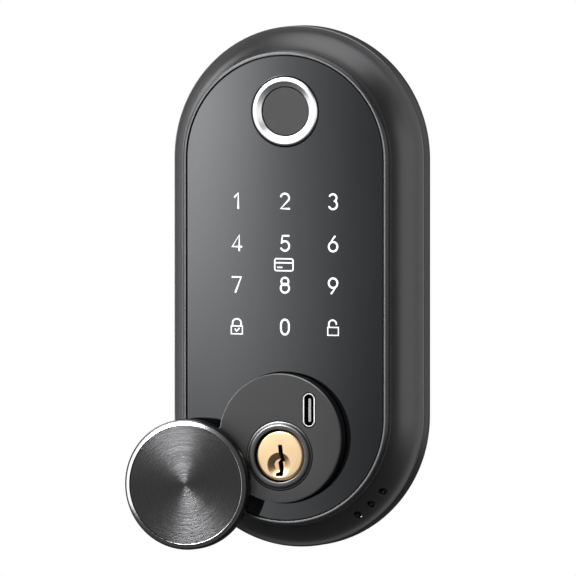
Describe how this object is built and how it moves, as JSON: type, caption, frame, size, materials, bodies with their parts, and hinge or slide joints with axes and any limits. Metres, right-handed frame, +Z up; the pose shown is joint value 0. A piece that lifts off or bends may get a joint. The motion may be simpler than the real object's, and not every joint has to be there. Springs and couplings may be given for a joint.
{
  "type": "keypad smart lock",
  "caption": "Outside unit of a fingerprint and keypad deadbolt: a stadium-shaped dark metal body with a glass touch face, a key cylinder, a power port and a round swinging cover.",
  "frame": {"origin": "centre of the stadium-shaped body on the door's outer face", "axes": "+Y into the door, the lock's face looks towards -Y, +Z up, +X to the right for someone facing the door"},
  "size_m": [0.0831, 0.0774, 0.1488],
  "materials": {
    "housing_metal": "satin gunmetal coating",
    "bezel_metal": "satin gunmetal coating with a bright edge",
    "black_glass": "glossy black",
    "white_plastic": "moulded",
    "circuit_board": "solder mask",
    "antenna_copper": "bare copper",
    "black_plastic": "moulded",
    "polished_steel": "mirror polished",
    "sensor_coating": "matt grey coating",
    "boss_coating": "fine matt texture",
    "collar_metal": "satin black coating",
    "contact_plastic": "moulded with plated contacts",
    "steel": "satin",
    "nickel": "nickel plated",
    "brass": "satin",
    "rubber": "matt",
    "cover_metal": "glossy black with a polished bevel",
    "spun_metal": "dark anodised, spun brushed"
  },
  "bodies": {
    "lock_body": {"housing": "housing_metal", "glass_bezel": "bezel_metal", "glass_panel": "black_glass", "light_guide": "white_plastic", "touch_board": "circuit_board", "card_antenna": "antenna_copper", "main_board": "circuit_board", "controller_chip": "black_plastic", "board_connector": "white_plastic", "fingerprint_ring": "polished_steel", "fingerprint_sensor": "sensor_coating", "sensor_board": "circuit_board", "key_boss": "boss_coating", "boss_magnet": "nickel", "pivot_bush": "brass", "key_collar": "collar_metal", "usb_shell": "polished_steel", "usb_tongue": "contact_plastic", "usb_board": "circuit_board", "speaker": "black_plastic", "back_plate": "steel", "gasket": "rubber", "cable_grommet": "rubber", "cylinder_body": "brass", "chamber_cover": "brass", "housing_screw_1": "steel", "housing_screw_2": "steel", "housing_screw_3": "steel", "housing_screw_4": "steel", "mounting_post_1": "nickel", "mounting_post_2": "nickel", "pin_spring_1": "steel", "pin_spring_2": "steel", "pin_spring_3": "steel", "pin_spring_4": "steel", "pin_spring_5": "steel"},
    "plug": {"key_plug": "brass", "plug_clip": "steel", "tailpiece": "steel"},
    "cover": {"cover_shell": "cover_metal", "cover_face": "spun_metal", "cover_liner": "black_plastic", "cover_magnet": "nickel", "cover_pivot_pin": "steel", "pivot_clip": "steel"},
    "key_pin_1": {"key_pin_1": "brass"},
    "key_pin_2": {"key_pin_2": "brass"},
    "key_pin_3": {"key_pin_3": "brass"},
    "key_pin_4": {"key_pin_4": "brass"},
    "key_pin_5": {"key_pin_5": "brass"},
    "driver_pin_1": {"driver_pin_1": "nickel"},
    "driver_pin_2": {"driver_pin_2": "nickel"},
    "driver_pin_3": {"driver_pin_3": "nickel"},
    "driver_pin_4": {"driver_pin_4": "nickel"},
    "driver_pin_5": {"driver_pin_5": "nickel"}
  },
  "joints": [
    {"name": "cover_swing", "type": "hinge", "parent": "lock_body", "child": "cover", "pos_m": [-0.0134, -0.0243, -0.04925], "axis": [0, 1, 0], "range_deg": [0, 180]},
    {"name": "key_turn", "type": "hinge", "parent": "lock_body", "child": "plug", "pos_m": [0, -0.0215, -0.0475], "axis": [0, 1, 0], "range_deg": [-90, 90]},
    {"name": "key_pin_slide_1", "type": "slide", "parent": "plug", "child": "key_pin_1", "axis": [0, 0, -1], "range_m": [0, 0.0013]},
    {"name": "key_pin_slide_2", "type": "slide", "parent": "plug", "child": "key_pin_2", "axis": [0, 0, -1], "range_m": [0, 0.0013]},
    {"name": "key_pin_slide_3", "type": "slide", "parent": "plug", "child": "key_pin_3", "axis": [0, 0, -1], "range_m": [0, 0.0013]},
    {"name": "key_pin_slide_4", "type": "slide", "parent": "plug", "child": "key_pin_4", "axis": [0, 0, -1], "range_m": [0, 0.0013]},
    {"name": "key_pin_slide_5", "type": "slide", "parent": "plug", "child": "key_pin_5", "axis": [0, 0, -1], "range_m": [0, 0.0013]},
    {"name": "driver_pin_slide_1", "type": "slide", "parent": "lock_body", "child": "driver_pin_1", "axis": [0, 0, 1], "range_m": [0, 0.0025], "stiffness_N_per_m": 60, "springref_m": -0.002, "deforming": ["pin_spring_1"]},
    {"name": "driver_pin_slide_2", "type": "slide", "parent": "lock_body", "child": "driver_pin_2", "axis": [0, 0, 1], "range_m": [0, 0.0025], "stiffness_N_per_m": 60, "springref_m": -0.002, "deforming": ["pin_spring_2"]},
    {"name": "driver_pin_slide_3", "type": "slide", "parent": "lock_body", "child": "driver_pin_3", "axis": [0, 0, 1], "range_m": [0, 0.0025], "stiffness_N_per_m": 60, "springref_m": -0.002, "deforming": ["pin_spring_3"]},
    {"name": "driver_pin_slide_4", "type": "slide", "parent": "lock_body", "child": "driver_pin_4", "axis": [0, 0, 1], "range_m": [0, 0.0025], "stiffness_N_per_m": 60, "springref_m": -0.002, "deforming": ["pin_spring_4"]},
    {"name": "driver_pin_slide_5", "type": "slide", "parent": "lock_body", "child": "driver_pin_5", "axis": [0, 0, 1], "range_m": [0, 0.0025], "stiffness_N_per_m": 60, "springref_m": -0.002, "deforming": ["pin_spring_5"]}
  ]
}
